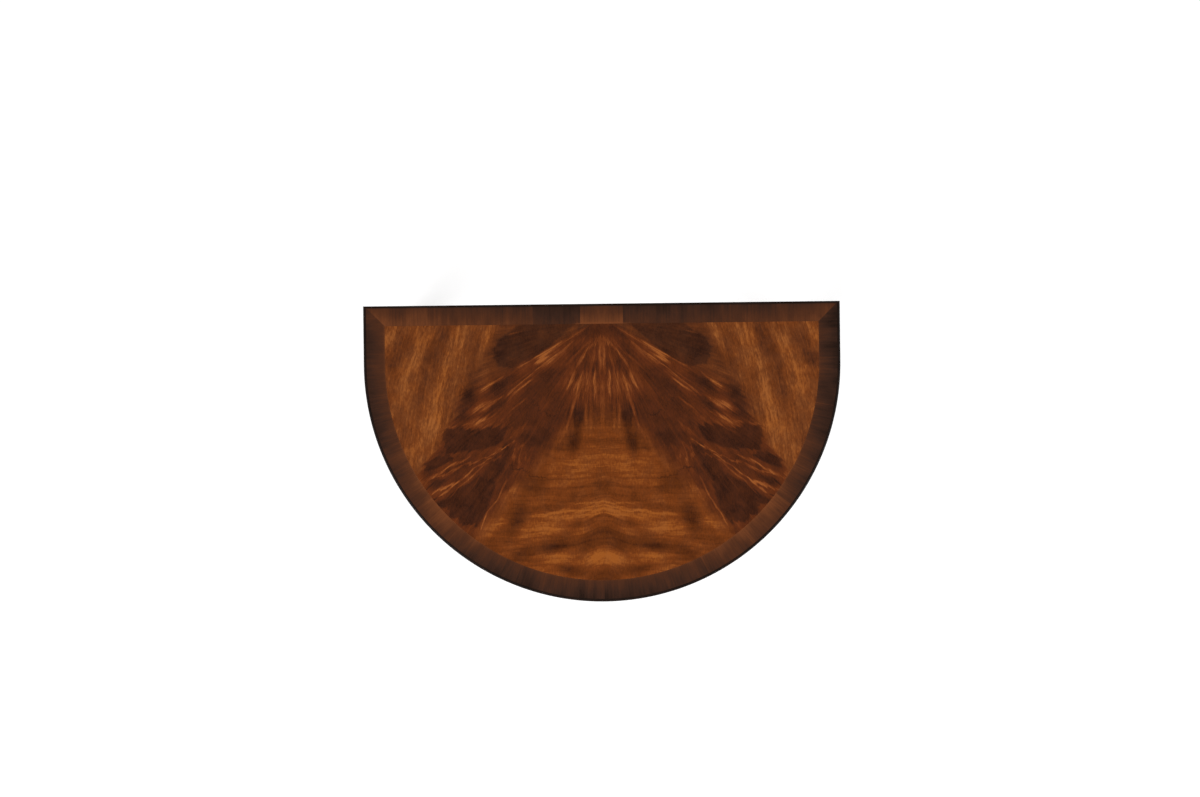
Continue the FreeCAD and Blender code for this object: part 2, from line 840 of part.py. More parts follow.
def make_corner_blocks(holes):
    """Blocks in the back corners, notched round the leg."""
    outline = [
        (leg_inner - size["corner_block_reach"], rail_inner),
        (leg_inner, rail_inner),
        (leg_inner, back_leg_front),
        (apron_inner, back_leg_front),
        (apron_inner, ZERO),
    ]
    parts = {}
    for hand, side in SIDES.items():
        name = f"corner_block_{hand}"
        blank = plan_piece(f"{name}_blank", mirrored(outline, side), block_base, size["block_height"])
        parts[name] = cut(name, blank, [holes["corner", hand]])
    return parts


def make_leg_blocks():
    """Three-cornered glue blocks on both sides of each front leg, against the apron."""
    far = half_leg + size["leg_block_width"]
    height = size["leg_block_height"]
    base = frame_top - height
    shapes = {
        "front": [
            bend(at_leg_side(apron_inner, half_leg), apron_inner, RIGHTWARD),
            at_leg_side(apron_inner, far),
            beside_leg(leg_inner, half_leg),
        ],
        "side": [
            bend(at_leg_side(apron_inner, -far), apron_inner, RIGHTWARD),
            at_leg_side(apron_inner, -half_leg),
            beside_leg(leg_inner, -half_leg),
        ],
    }
    parts = {}
    for hand, side in SIDES.items():
        for where, outline in shapes.items():
            name = f"leg_block_{where}_{hand}"
            parts[name] = plan_piece(name, mirrored(outline, side), base, height)
    return parts


def bow_block(angle):
    """A screw block whose back fits the inside of the bow."""
    half = size["screw_block_width"] / 2
    face = other_leg(apron_inner, half)
    inside = apron_inner - size["screw_block_depth"]
    spoke = (cosine(angle), sine(angle))
    corners = [(face, -half), (face, half), (inside, half), (inside, -half)]
    turned = []
    for along, across in corners:
        x = along * spoke[0] - across * spoke[1]
        y = -(along * spoke[1]) - across * spoke[0]
        turned.append((x, y))
    turned[0] = bend(turned[0], apron_inner, RIGHTWARD)
    return turned


def make_screw_blocks(holes):
    """Blocks along the apron and the back rail that the top is screwed to."""
    offset = size["rail_block_offset"]
    half = size["screw_block_width"] / 2
    shapes = {
        "side": bow_block(size["side_block_angle"]),
        "front": bow_block(size["front_block_angle"]),
        "rail": rectangle(offset - half, offset + half, rail_inner - size["screw_block_depth"], rail_inner),
    }
    parts = {}
    for hand, side in SIDES.items():
        for where, outline in shapes.items():
            name = f"screw_block_{where}_{hand}"
            blank = plan_piece(f"{name}_blank", mirrored(outline, side), block_base, size["block_height"])
            parts[name] = cut(name, blank, [holes[where, hand]])
    return parts


def make_legs(nails):
    parts = {}
    for hand in SIDES:
        parts[f"front_leg_{hand}"] = make_front_leg(hand, nails["front", hand])
        parts[f"back_leg_{hand}"] = make_back_leg(hand, nails["back", hand])
    return parts


def make_table():
    """All the nodes of the table, by name."""
    holes, screws = make_screws()
    nails, glides = make_glides()
    leg_squares = {hand: leg_square(f"leg_square_{hand}", side) for hand, side in SIDES.items()}
    parts = {"top_screws": screws}
    parts.update(make_top(list(holes.values())))
    parts.update(make_back_bands())
    parts.update(make_bow_bands())
    parts.update(make_lippings())
    parts.update(make_rails())
    for number in range(1, COURSES + 1):
        parts[f"apron_course_{number}"] = make_course(number, parts["medial_rail"])
    parts.update(make_frieze())
    parts.update(make_beads(leg_squares))
    parts.update(make_legs(nails))
    parts.update(make_corner_blocks(holes))
    parts.update(make_leg_blocks())
    parts.update(make_screw_blocks(holes))
    parts.update(glides)
    return parts


def check_and_export(parts):
    """Stops on any failed object or bad shape, then writes one file for each node."""
    doc.recompute()
    failed = [piece.Name for piece in doc.Objects if {"Invalid", "Error"} & set(piece.State)]
    if failed:
        raise RuntimeError(f"objects that failed to compute: {failed}")
    for name, piece in parts.items():
        piece.Label = name
        shape = piece.Shape
        if shape.isNull() or not shape.isValid() or not shape.Solids:
            raise RuntimeError(f"{name} has no valid solid")
    os.makedirs("parts", exist_ok=True)
    for name, piece in parts.items():
        piece.Shape.exportStep(os.path.join("parts", f"{name}.step"))


doc.recompute()
check_and_export(make_table())
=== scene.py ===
"""Looks of a demilune side table: book-matched crotch veneer, crossbanding, dark edges, plain insides.

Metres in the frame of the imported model: +X along the back edge, +Y to the wall, +Z up, floor at zero.
Patterns are drawn in millimetres on the pieces' own coordinates.
"""
import math

import bpy
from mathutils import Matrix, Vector


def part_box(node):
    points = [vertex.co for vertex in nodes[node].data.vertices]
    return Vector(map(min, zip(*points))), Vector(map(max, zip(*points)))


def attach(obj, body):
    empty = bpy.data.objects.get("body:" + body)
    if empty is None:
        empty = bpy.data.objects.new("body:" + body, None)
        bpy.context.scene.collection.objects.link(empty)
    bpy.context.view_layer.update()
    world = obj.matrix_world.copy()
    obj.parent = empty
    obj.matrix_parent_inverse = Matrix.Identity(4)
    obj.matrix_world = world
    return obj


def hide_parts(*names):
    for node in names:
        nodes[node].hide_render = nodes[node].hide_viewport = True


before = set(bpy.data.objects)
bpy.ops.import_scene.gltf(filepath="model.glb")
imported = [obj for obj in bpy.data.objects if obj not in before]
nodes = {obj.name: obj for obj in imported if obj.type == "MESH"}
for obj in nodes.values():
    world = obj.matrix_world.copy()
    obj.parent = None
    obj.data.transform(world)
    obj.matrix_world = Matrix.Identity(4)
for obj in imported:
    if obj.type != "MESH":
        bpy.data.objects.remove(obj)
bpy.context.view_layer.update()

HANDS = ("left", "right")

# Places and sizes of the table, read from the frame
MM = 0.001
lipping_low, lipping_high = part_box("edge_lipping_right")
leaf_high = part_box("veneer_leaf_right")[1]
core_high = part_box("top_core")[1]
bow_radius = lipping_high.x
bow_y = lipping_low.y + bow_radius
side_length = lipping_high.y - bow_y
top_z = lipping_high.z
top_thickness = lipping_high.z - lipping_low.z
leaf_radius = leaf_high.x
core_radius = core_high.x

# The photograph: its size, and where the top lies in it, in pixels
PHOTO_WIDTH = 1200
PHOTO_HEIGHT = 797
TOP_WIDTH_PIXELS = 476.9
BOW_CENTRE_PIXEL = (602.1, 363.25)
PHOTO_TURN_DEGREES = 0.68


def paint(red, green, blue):
    """A colour as seen on a screen, 0 to 255, in the renderer's own scale."""
    seen = [channel / 255 for channel in (red, green, blue)]
    linear = [((c + 0.055) / 1.055) ** 2.4 if c > 0.04045 else c / 12.92 for c in seen]
    return (*linear, 1.0)


# Sockets of the Mix node when it mixes colours
MIX_SHARE = 0
MIX_FIRST = 6
MIX_SECOND = 7
MIX_RESULT = 2


class Socket:
    """An output socket of a node tree. Sums on it add Math nodes."""

    def __init__(self, tree, socket):
        self.tree = tree
        self.socket = socket

    def __add__(self, other):
        return self.tree.maths("ADD", self, other)

    __radd__ = __add__

    def __sub__(self, other):
        return self.tree.maths("SUBTRACT", self, other)

    def __rsub__(self, other):
        return self.tree.maths("SUBTRACT", other, self)

    def __mul__(self, other):
        return self.tree.maths("MULTIPLY", self, other)

    __rmul__ = __mul__

    def __truediv__(self, other):
        return self.tree.maths("DIVIDE", self, other)

    def __rtruediv__(self, other):
        return self.tree.maths("DIVIDE", other, self)

    def __abs__(self):
        return self.tree.maths("ABSOLUTE", self)

    def beside(self, output):
        """Another output of the same node."""
        return Socket(self.tree, self.socket.node.outputs[output])


class NodeTree:
    """A node tree under construction."""

    def __init__(self, tree):
        self.tree = tree
        self.tree.nodes.clear()

    def node(self, kind, settings=None, inputs=None, output=0):
        """Adds a node: its settings first, then the values or links of its sockets."""
        made = self.tree.nodes.new(kind if kind.startswith("Geometry") else f"ShaderNode{kind}")
        for name, setting in (settings or {}).items():
            if name == "stops":
                set_stops(made.color_ramp, setting)
            else:
                setattr(made, name, setting)
        for key, given in (inputs or {}).items():
            if isinstance(given, Socket):
                self.tree.links.new(given.socket, made.inputs[key])
            else:
                made.inputs[key].default_value = given
        return Socket(self, made.outputs[output]) if made.outputs else None

    def maths(self, operation, *terms):
        return self.node("Math", {"operation": operation}, dict(enumerate(terms)))

    def parts(self, vector):
        """The x, y and z of a vector."""
        across = self.node("SeparateXYZ", None, {0: vector})
        return across, across.beside(1), across.beside(2)


class Finish(NodeTree):
    """The shader tree of a material or of the world."""

    def __init__(self, owner):
        owner.use_nodes = True
        self.owner = owner
        super().__init__(owner.node_tree)

    def place(self):
        """The piece's own coordinates, in millimetres."""
        metres = self.node("TexCoord", output="Object")
        return self.node("VectorMath", {"operation": "SCALE"}, {0: metres, "Scale": 1 / MM})

    def vector(self, x, y, z=0.0):
        return self.node("CombineXYZ", None, {0: x, 1: y, 2: z})

    def length(self, vector):
        return self.node("VectorMath", {"operation": "LENGTH"}, {0: vector}, "Value")

    def grain(self, axes, lengths, detail=2.0, roughness=0.5):
        """Soft noise about zero, with bumps as long as this on each axis."""
        place = self.vector(*(axis / length for axis, length in zip(axes, lengths)))
        inputs = {"Vector": place, "Scale": 1.0, "Detail": detail, "Roughness": roughness}
        return self.node("TexNoise", None, inputs) - 0.5

    def ease(self, value, low, high, start=0.0, end=1.0):
        """Goes smoothly from start to end while the value goes from low to high."""
        inputs = {"Value": value, "From Min": low, "From Max": high, "To Min": start, "To Max": end}
        return self.node("MapRange", {"interpolation_type": "SMOOTHSTEP"}, inputs)

    def ramp(self, value, stops):
        return self.node("ValToRGB", {"stops": stops}, {0: value})

    def mix(self, share, first, second):
        """One colour over another."""
        inputs = {MIX_SHARE: share, MIX_FIRST: first, MIX_SECOND: second}
        return self.node("Mix", {"data_type": "RGBA"}, inputs, MIX_RESULT)

    def output(self, shader):
        self.node("OutputMaterial", None, {"Surface": shader})


class Shape(NodeTree):
    """A geometry tree with named inputs, which makes plain pieces."""

    def __init__(self, name, inputs):
        super().__init__(bpy.data.node_groups.new(name, "GeometryNodeTree"))
        face = self.tree.interface
        self.labels = {}
        for label, kind in inputs.items():
            self.labels[label] = face.new_socket(label, in_out="INPUT", socket_type=f"NodeSocket{kind}")
        face.new_socket("Geometry", in_out="OUTPUT", socket_type="NodeSocketGeometry")
        self.start = self.tree.nodes.new("NodeGroupInput")

    def given(self, label):
        return Socket(self, self.start.outputs[label])

    def end(self, geometry, material):
        whole = self.node("GeometryNodeRealizeInstances", None, {"Geometry": geometry})
        dressed = self.node("GeometryNodeSetMaterial", None, {"Geometry": whole, "Material": material})
        end = self.tree.nodes.new("NodeGroupOutput")
        self.tree.links.new(dressed.socket, end.inputs[0])

    def make(self, name, mesh, values):
        """Runs the tree on a mesh and keeps the result as a plain piece."""
        piece = bpy.data.objects.new(name, mesh)
        bpy.context.scene.collection.objects.link(piece)
        modifier = piece.modifiers.new(name, "NODES")
        modifier.node_group = self.tree
        for label, value in values.items():
            modifier[self.labels[label].identifier] = value
        evaluated = piece.evaluated_get(bpy.context.evaluated_depsgraph_get())
        made = bpy.data.meshes.new_from_object(evaluated)
        piece.modifiers.clear()
        piece.data = made
        return piece


def set_stops(ramp, stops):
    """Gives a colour ramp these stops, pairs of a place and a colour."""
    while len(ramp.elements) < len(stops):
        ramp.elements.new(1.0)
    for element, (spot, colour) in zip(ramp.elements, stops):
        element.position = spot
        element.color = colour


def new_finish(name):
    return Finish(bpy.data.materials.new(name))


# Relief and gloss of the finishes
VENEER_RELIEF = 0.04 * MM
FINE_RELIEF = 0.1 * MM
FRIEZE_RELIEF = 0.12 * MM
LEG_RELIEF = 0.15 * MM
SAWN_RELIEF = 0.4 * MM
PLAIN_SHINE = 0.2
EDGE_SHINE = 0.06
COAT_ROUGHNESS = 0.2


def polished(finish, colour, roughness, height, depth, shine=PLAIN_SHINE):
    """A polished surface with fine relief."""
    inputs = {
        "Base Color": colour,
        "Roughness": roughness,
        "Normal": finish.node("Bump", None, {"Height": height, "Distance": depth, "Strength": 0.6}),
        "Specular IOR Level": shine,
        "Coat Weight": shine / 2,
        "Coat Roughness": COAT_ROUGHNESS,
    }
    finish.output(finish.node("BsdfPrincipled", None, inputs))


def raw(finish, colour, roughness, height, depth):
    """A bare surface with no polish on it."""
    inputs = {
        "Base Color": colour,
        "Roughness": roughness,
        "Normal": finish.node("Bump", None, {"Height": height, "Distance": depth, "Strength": 0.8}),
        "Specular IOR Level": PLAIN_SHINE,
    }
    finish.output(finish.node("BsdfPrincipled", None, inputs))


# Colours of a veneer leaf, from dark to light
GOLD_TONES = (
    (0.00, paint(48, 21, 8)),
    (0.22, paint(72, 34, 13)),
    (0.50, paint(98, 48, 17)),
    (0.75, paint(121, 60, 22)),
    (1.00, paint(156, 86, 33)),
)
ROSE_TONES = (
    (0.00, paint(50, 27, 18)),
    (0.22, paint(72, 39, 23)),
    (0.50, paint(98, 51, 25)),
    (0.75, paint(121, 66, 31)),
    (1.00, paint(156, 91, 43)),
)
RED_TONES = (
    (0.00, paint(50, 26, 17)),
    (0.22, paint(72, 36, 20)),
    (0.50, paint(98, 46, 21)),
    (0.75, paint(121, 62, 29)),
    (1.00, paint(156, 88, 42)),
)

# Where the figure's fan starts and its two sides: a point on each, and the direction out of the fan
FAN_BEHIND_LEAF = 9.5
FAN_SIDE = ((190, 40), (0.879, -0.477))
FAN_FRONT = ((60, 190), (-0.759, 0.654))

# Dark steps of the fan: softness of the edge, change of tone, then the corners, clockwise
DARK_TIERS = (
    (2.5, -0.20, (26, -8), (108, -8), (172, 30), (187, 52), (178, 80), (150, 84), (112, 66)),
    (2.5, -0.25, (160, 182), (272, 187), (278, 206), (260, 229), (214, 224), (172, 206)),
    (2, -0.27, (263, 225), (303, 242), (300, 256), (289, 253), (258, 242)),
    (2.5, -0.24, (180, 268), (215, 270), (240, 284), (285, 310), (248, 343), (219, 354), (200, 330)),
    (5, -0.18, (148, 214), (168, 214), (215, 270), (180, 270)),
    (6, -0.11, (76, 86), (102, 86), (132, 118), (158, 164), (150, 196), (126, 222), (100, 220), (62, 172)),
)

# Strokes of the figure: half width, change of tone, then the points that each runs through
FEATHER_DARKS = (
    (16, -0.14, (148, 36), (180, 66)),
    (9, -0.30, (154, 103), (198, 126)),
    (6, -0.22, (166, 136), (198, 160)),
    (10, -0.20, (218, 124), (236, 134)),
    (12, -0.12, (230, 152), (262, 176)),
    (9, -0.08, (84, 100), (112, 118)),
    (10, -0.10, (102, 196), (124, 214)),
    (6, -0.16, (34, 48), (58, 72)),
    (6, -0.18, (10, 74), (20, 92)),
    (7, -0.34, (36, 128), (41, 190)),
    (9, -0.40, (47, 188), (53, 232)),
    (11, -0.32, (138, 318), (156, 362)),
    (5, -0.14, (60, 74), (74, 96)),
    (6, -0.30, (272, 272), (293, 288)),
    (5, -0.12, (20, 18), (44, 36)),
    (14, -0.14, (212, 236), (256, 258)),
    (12, -0.10, (150, 196), (176, 212)),
    (12, -0.13, (160, 232), (172, 294)),
    (14, -0.14, (0, 8), (36, 22)),
    (14, -0.12, (-10, 164), (62, 168)),
    (12, -0.12, (28, 208), (112, 214)),
)
KNOT_LIGHTS = (
    (2.6, 0.28, (26, 17), (58, 37), (94, 59)),
    (2.0, 0.40, (70, 40), (114, 67)),
    (2.6, 0.22, (40, 30), (68, 58)),
    (6.0, 0.44, (70, 57), (104, 78)),
    (4.0, 0.46, (88, 57), (116, 72)),
)
FEATHER_LIGHTS = (
    (1.8, 0.18, (128, 16), (160, 27)),
    (1.8, 0.26, (96, 78), (128, 94), (150, 108)),
    (2.0, 0.28, (112, 90), (140, 110), (164, 132)),
    (1.8, 0.24, (118, 102), (140, 118), (162, 138)),
    (2.0, 0.24, (132, 138), (156, 156), (174, 176)),
    (1.8, 0.18, (118, 70), (144, 81)),
    (2.0, 0.28, (166, 93), (190, 112)),
    (4.5, 0.42, (184, 104), (208, 128)),
    (2.0, 0.26, (172, 132), (192, 144)),
    (6.0, 0.46, (186, 142), (224, 158)),
    (2.0, 0.24, (178, 158), (200, 168)),
    (6.0, 0.46, (190, 164), (226, 180)),
    (1.6, 0.20, (180, 172), (206, 186), (222, 194)),
    (1.8, 0.24, (226, 178), (272, 186)),
    (4.0, 0.26, (132, 182), (156, 204)),
    (12, 0.14, (192, 84), (224, 116)),
)
WEDGE_LIGHTS = (
    (2.4, 0.32, (230, 236), (268, 253), (302, 276)),
    (1.8, 0.22, (240, 252), (282, 272)),
    (2.2, 0.34, (246, 274), (302, 300)),
    (9.0, 0.26, (306, 266), (318, 296)),
)
WEDGE_LINES = (
    (1.3, 0.36, (150, 208), (184, 232), (213, 249), (249, 277), (285, 305)),
    (1.2, 0.26, (164, 228), (206, 252), (240, 280), (262, 304)),
    (1.3, 0.34, (160, 217), (200, 234), (245, 252), (288, 270)),
    (1.2, 0.30, (146, 210), (155, 250)),
    (1.2, 0.26, (138, 214), (145, 250)),
    (1.2, 0.22, (131, 226), (137, 252)),
    (1.4, 0.34, (163, 268), (174, 292), (185, 314), (199, 331), (212, 356)),
    (1.2, 0.20, (212, 272), (230, 296)),
    (1.2, -0.22, (286, 276), (304, 292)),
    (1.4, -0.24, (276, 300), (300, 310)),
)
CENTRE_LIGHTS = (
    (2.4, 0.30, (0, 30), (27, 56), (45, 84), (58, 114)),
    (2.0, 0.20, (14, 34), (44, 62), (66, 82)),
    (2.6, 0.28, (2, 40), (4, 96)),
    (1.8, 0.22, (12, 62), (22, 100)),
    (15, 0.22, (-26, 112), (60, 115)),
    (4.0, 0.28, (36, 100), (48, 126)),
    (2.0, 0.22, (50, 108), (62, 120)),
    (3.0, 0.24, (43, 122), (57, 174), (74, 206)),
    (7.0, 0.10, (72, 200), (88, 250), (86, 300)),
    (2.4, 0.24, (13, 98), (14, 146)),
    (2.4, 0.22, (25, 102), (28, 186)),
    (2.4, 0.18, (2, 112), (2, 184)),
    (2.4, 0.16, (19, 134), (20, 190)),
    (4.5, 0.30, (92, 62), (112, 74)),
    (26, 0.10, (-10, 232), (76, 262)),
    (14, 0.12, (20, 254), (62, 272)),
)
FRONT_LIGHTS = (
    (13, 0.17, (-10, 324), (50, 326)),
    (1.3, 0.16, (-6, 311), (18, 315), (58, 315)),
    (1.3, 0.17, (-6, 317), (20, 322), (46, 321)),
    (1.3, 0.15, (-6, 324), (16, 328), (64, 328)),
    (1.3, 0.12, (-6, 332), (18, 335), (44, 336)),
    (7, 0.10, (158, 305), (184, 352)),
    (3, 0.22, (50, 326), (90, 332), (124, 336)),
    (15, 0.22, (54, 338), (132, 364)),
    (13, 0.34, (-8, 402), (28, 410)),
    (10, 0.22, (66, 404), (108, 408)),
    (8, 0.14, (26, 357), (48, 367)),
    (8, 0.20, (134, 374), (168, 398)),
    (11, 0.24, (172, 344), (214, 366)),
    (8, 0.24, (146, 294), (182, 308)),
    (8, 0.12, (96, 238), (122, 256)),
    (6, 0.08, (96, 430), (122, 426)),
)
FRONT_DARKS = (
    (8, -0.27, (-6, 361), (16, 365), (36, 379), (68, 387), (100, 390)),
    (8, -0.16, (0, 386), (44, 392)),
    (10, -0.16, (64, 386), (104, 394)),
    (9, -0.18, (-8, 436), (24, 440)),
    (6, -0.24, (92, 388), (152, 397)),
    (8, -0.36, (34, 432), (78, 426)),
    (8, -0.14, (40, 340), (54, 352)),
    (6, -0.14, (50, 296), (56, 310)),
    (9, -0.14, (0, 280), (14, 282)),
    (16, -0.16, (100, 278), (136, 300)),
    (7, -0.16, (58, 370), (100, 374)),
    (8, -0.16, (128, 404), (160, 412)),
    (12, -0.12, (184, 378), (206, 388)),
)
OUTER_LIGHTS = (
    (9, 0.20, (242, 18), (256, 56), (274, 104), (284, 140), (296, 190)),
    (9, 0.20, (300, 28), (312, 58), (330, 92), (338, 146)),
    (8, 0.14, (352, 16), (366, 36)),
    (10, 0.08, (194, 16), (204, 48)),
    (10, 0.05, (304, 180), (314, 240)),
)
OUTER_DARKS = (
    (9, -0.20, (260, 6), (276, 36), (290, 70)),
    (8, -0.12, (288, 66), (302, 106), (314, 162)),
    (10, -0.22, (330, 28), (346, 64), (366, 82)),
    (12, -0.12, (219, 30), (222, 92)),
    (14, -0.18, (226, 100), (250, 170)),
)
HAIRLINES = (
    (0.9, -0.24, (74, 170), (102, 158), (122, 136)),
    (1.2, -0.24, (92, 273), (126, 267), (160, 252)),
)
FAN_LIGHTS = (KNOT_LIGHTS, FEATHER_LIGHTS, WEDGE_LIGHTS)
OTHER_STROKES = (
    FEATHER_DARKS,
    CENTRE_LIGHTS,
    FRONT_LIGHTS,
    FRONT_DARKS,
    OUTER_LIGHTS,
    OUTER_DARKS,
    WEDGE_LINES,
    HAIRLINES,
)

# How strokes bend and soften, and how the grain of the figure runs
STROKE_BEND = 4.0
FINE_STROKE = 5.0
FINE_SOFTNESS = 0.5
BROAD_SOFTNESS = 0.9
STRAND_WIDTH = 0.05
FINGER_LENGTH = 50
FEATHER_LENGTH = 13
RAY_SHIFT = 840
FLAME_LEAN = 0.33
FLAME_CURVE = 0.0005
ARCH_WIDTH = 30
ARCH_HEIGHT = (2.0, 16.0)
RIPPLE_SHIFT = 43

# Tone of the three parts of a leaf, from 0 for dark to 1 for light
FAN_LEVEL = 0.40
OUTER_LEVEL = 0.66
FRONT_LEVEL = 0.68


def tier(finish, place, softness, strength, corners):
    """A patch with straight sides, at full strength inside its corners."""
    inside = None
    for start, end in zip(corners, corners[1:] + corners[:1]):
        run = (Vector(end) - Vector(start)).normalized()
        inward = Vector((-run.y, run.x))
        inputs = {0: place, 1: (*inward, 0.0)}
        side = finish.node("VectorMath", {"operation": "DOT_PRODUCT"}, inputs, "Value")
        side = side - inward.dot(Vector(start))
        inside = side if inside is None else finish.maths("MINIMUM", inside, side)
    return finish.ease(inside, -softness, softness, 0.0, strength)


def stroke(finish, place, half_width, strength, start, end):
    """A long patch that tapers, at half its strength at its ends and at its half width."""
    run = Vector(end) - Vector(start)
    middle = (Vector(end) + Vector(start)) / 2
    inputs = {
        "Vector": place,
        "Location": (middle.x, middle.y, 0.0),
        "Rotation": (0.0, 0.0, math.atan2(run.y, run.x)),
        "Scale": (run.length / 2, half_width, 1.0),
    }
    reach = finish.length(finish.node("Mapping", {"vector_type": "TEXTURE"}, inputs))
    soft = FINE_SOFTNESS if half_width < FINE_STROKE else BROAD_SOFTNESS
    return finish.ease(reach, 1 - soft, 1 + soft, strength, 0.0)


def tiers(finish, x, y, listed):
    """Dark steps of the fan added up."""
    total = 0.0
    for softness, strength, *corners in listed:
        place = finish.vector(x + total * STROKE_BEND, y)
        total = total + tier(finish, place, softness, strength, corners)
    return total


def strokes(finish, x, y, groups, there):
    """Strokes added up, group by group. Each group bends a little with the figure that is there."""
    total = 0.0
    for listed in groups:
        place = finish.vector(x + (there + total) * STROKE_BEND, y)
        for half_width, strength, *points in listed:
            for start, end in zip(points, points[1:]):
                total = total + stroke(finish, place, half_width, strength, start, end)
    return total


def strands(finish, axes, lengths):
    """Thin lines that run along the figure: one on the line itself, zero beside it."""
    return finish.ease(abs(finish.grain(axes, lengths, 1.0)), 0.0, STRAND_WIDTH, 1.0, 0.0)


def crisp(finish, noise):
    """Noise with clearer edges between its light and dark parts."""
    return finish.ease(noise, -0.12, 0.12, -0.16, 0.16)


class LeafPlace:
    """Where a point of a leaf lies in the figure: millimetres and degrees about the fan's point."""

    def __init__(self, finish):
        x, y, _ = finish.parts(finish.place())
        self.own = (x, y)
        self.x = abs(x)
        self.y = leaf_high.y / MM + FAN_BEHIND_LEAF - y
        self.radius = finish.length(finish.vector(self.x, self.y))
        self.angle = finish.maths("ARCTAN2", self.y, self.x) * math.degrees(1)
        self.fanned = (self.angle, self.radius)
        self.drift = finish.grain(self.own, (40, 40))

    def past(self, line):
        """Millimetres past a line, on the side that its direction points to."""
        (start_x, start_y), (out_x, out_y) = line
        return (self.x - start_x) * out_x + (self.y - start_y) * out_y


def fan_zones(finish, at):
    """Shares of the fan, the field outside it and the front, and the reach of the fan's torn edge."""
    past_side = at.past(FAN_SIDE)
    past_front = at.past(FAN_FRONT)
    fingers = finish.grain(at.fanned, (2.6, 200), 3.0, 0.65)
    feather = finish.grain(at.fanned, (1.0, 70))
    fade = finish.ease(past_side, 0, 40, 1.0, 0.15) * finish.ease(past_front, -10, 40, 1.0, 0.15)
    fade = fade * finish.ease(at.angle, 20, 34, 0.3, 1.0)
    reach = (fingers * FINGER_LENGTH + feather * FEATHER_LENGTH) * fade
    outside = finish.ease(past_side + reach, -8, 8)
    front = finish.ease(past_front + reach * 0.5, -22, 22) * finish.ease(at.y, 120, 205)
    return (1 - outside) * (1 - front), outside, front, reach


def fan_grain(finish, at, dark):
    """Rays that spread from the fan's point, then all the fan's lines, with stripes near the middle."""
    rays = finish.grain(at.fanned, (2.4, 110), 4.0, 0.7)
    fibres = finish.grain(at.fanned, (0.8, 45), 3.0, 0.7)
    light_rays = strands(finish, at.fanned, (3.0, 150)) * (1 + dark * 3)
    dark_rays = strands(finish, (at.angle, at.radius + RAY_SHIFT), (2.2, 120))
    stripes = finish.grain((at.x + at.drift * 12, at.y), (6, 60), 3.0, 0.6)
    stripes = stripes * finish.ease(at.x, 75, 45)
    stripes = stripes * finish.ease(at.y, 60, 120, 0.4, 1.0) * finish.ease(at.y, 180, 230, 1.0, 0.5)
    return rays, rays * 0.65 + fibres * 0.25 + light_rays * 0.10 - dark_rays * 0.06 + stripes * 1.1


def outer_grain(finish, at):
    """Flames that lean outwards in the golden field, then all its lines."""
    place = (at.x - at.y * FLAME_LEAN + at.y * at.y * FLAME_CURVE + at.drift * 6, at.y)
    flames = finish.grain(place, (10, 110), 5.0, 0.8)
    broad = crisp(finish, finish.grain(place, (26, 160), 3.0, 0.45))
    light = strands(finish, place, (14, 170))
    dashes = finish.grain(place, (3, 18), 3.0, 0.75)
    return flames, flames * 0.9 + light * 0.08 + broad * 0.4 + dashes * 0.75


def front_grain(finish, at):
    """Ripples across the front that arch over the centre line, then all its lines."""
    bell = finish.maths("EXPONENT", at.x * at.x * (-1 / ARCH_WIDTH**2))
    arch = finish.ease(at.y, 250, 330, *ARCH_HEIGHT) * bell
    place = (at.x, at.y + arch + at.drift * 10 + RIPPLE_SHIFT)
    ripples = finish.grain(place, (90, 10), 5.0, 0.75)
    broad = crisp(finish, finish.grain(place, (130, 30), 3.0, 0.45))
    dark = strands(finish, place, (150, 15))
    return ripples, ripples * 0.8 - dark * 0.10 + broad * 0.40


def leaf_figure():
    """Crotch figure: a fan of rays and feathers, a golden field outside it and ripples in front."""
    finish = new_finish("crotch_veneer")
    at = LeafPlace(finish)
    fan, outside, front, reach = fan_zones(finish, at)
    bent_x = at.x + at.x * reach / at.radius + at.drift * 7
    bent_y = at.y + at.y * reach / at.radius - at.drift * 7
    dark = tiers(finish, bent_x, bent_y, DARK_TIERS)
    figure = dark + strokes(finish, bent_x, bent_y, OTHER_STROKES, dark)
    lights = strokes(finish, bent_x, bent_y, FAN_LIGHTS, figure)
    barbs = finish.grain(at.fanned, (1.7, 110), 4.0, 0.7)
    comb = finish.ease(barbs, -0.12, 0.14, 0.2, 1.8)

    rays, fan_lines = fan_grain(finish, at, dark)
    flames, outer_lines = outer_grain(finish, at)
    ripples, front_lines = front_grain(finish, at)
    mottle = finish.grain(at.own, (24, 24), 3.0)
    pores = finish.grain(at.own, (1.2, 5))
    fleck = finish.grain(at.own, (2.6, 7))
    lines = fan * fan_lines + outside * outer_lines + front * front_lines
    level = OUTER_LEVEL * outside + FRONT_LEVEL * front + (FAN_LEVEL + mottle * 0.25) * fan
    streaks = 1 + (fan * rays + outside * flames + front * ripples) * 2.4
    tone = level + figure * streaks + lights * comb + lines + mottle * (0.2 + outside * 0.2)
    tone = tone + pores * 0.2 + fleck * (0.45 - fan * 0.15)

    hue = finish.grain(at.own, (22, 30), 2.0, 0.6)
    redder = fan * finish.ease(at.angle, 22, 34, 0.0, 0.9)
    golder = front * 0.7 + finish.ease(hue, -0.14, 0.14, 0.0, 0.5) * (1 - fan * 0.5)
    warm = finish.mix(redder, finish.ramp(tone, ROSE_TONES), finish.ramp(tone, RED_TONES))
    colour = finish.mix(golder, warm, finish.ramp(tone, GOLD_TONES))
    polished(finish, colour, 0.28 + mottle * 0.12, pores + lines * 0.2, VENEER_RELIEF)
    return finish.owner


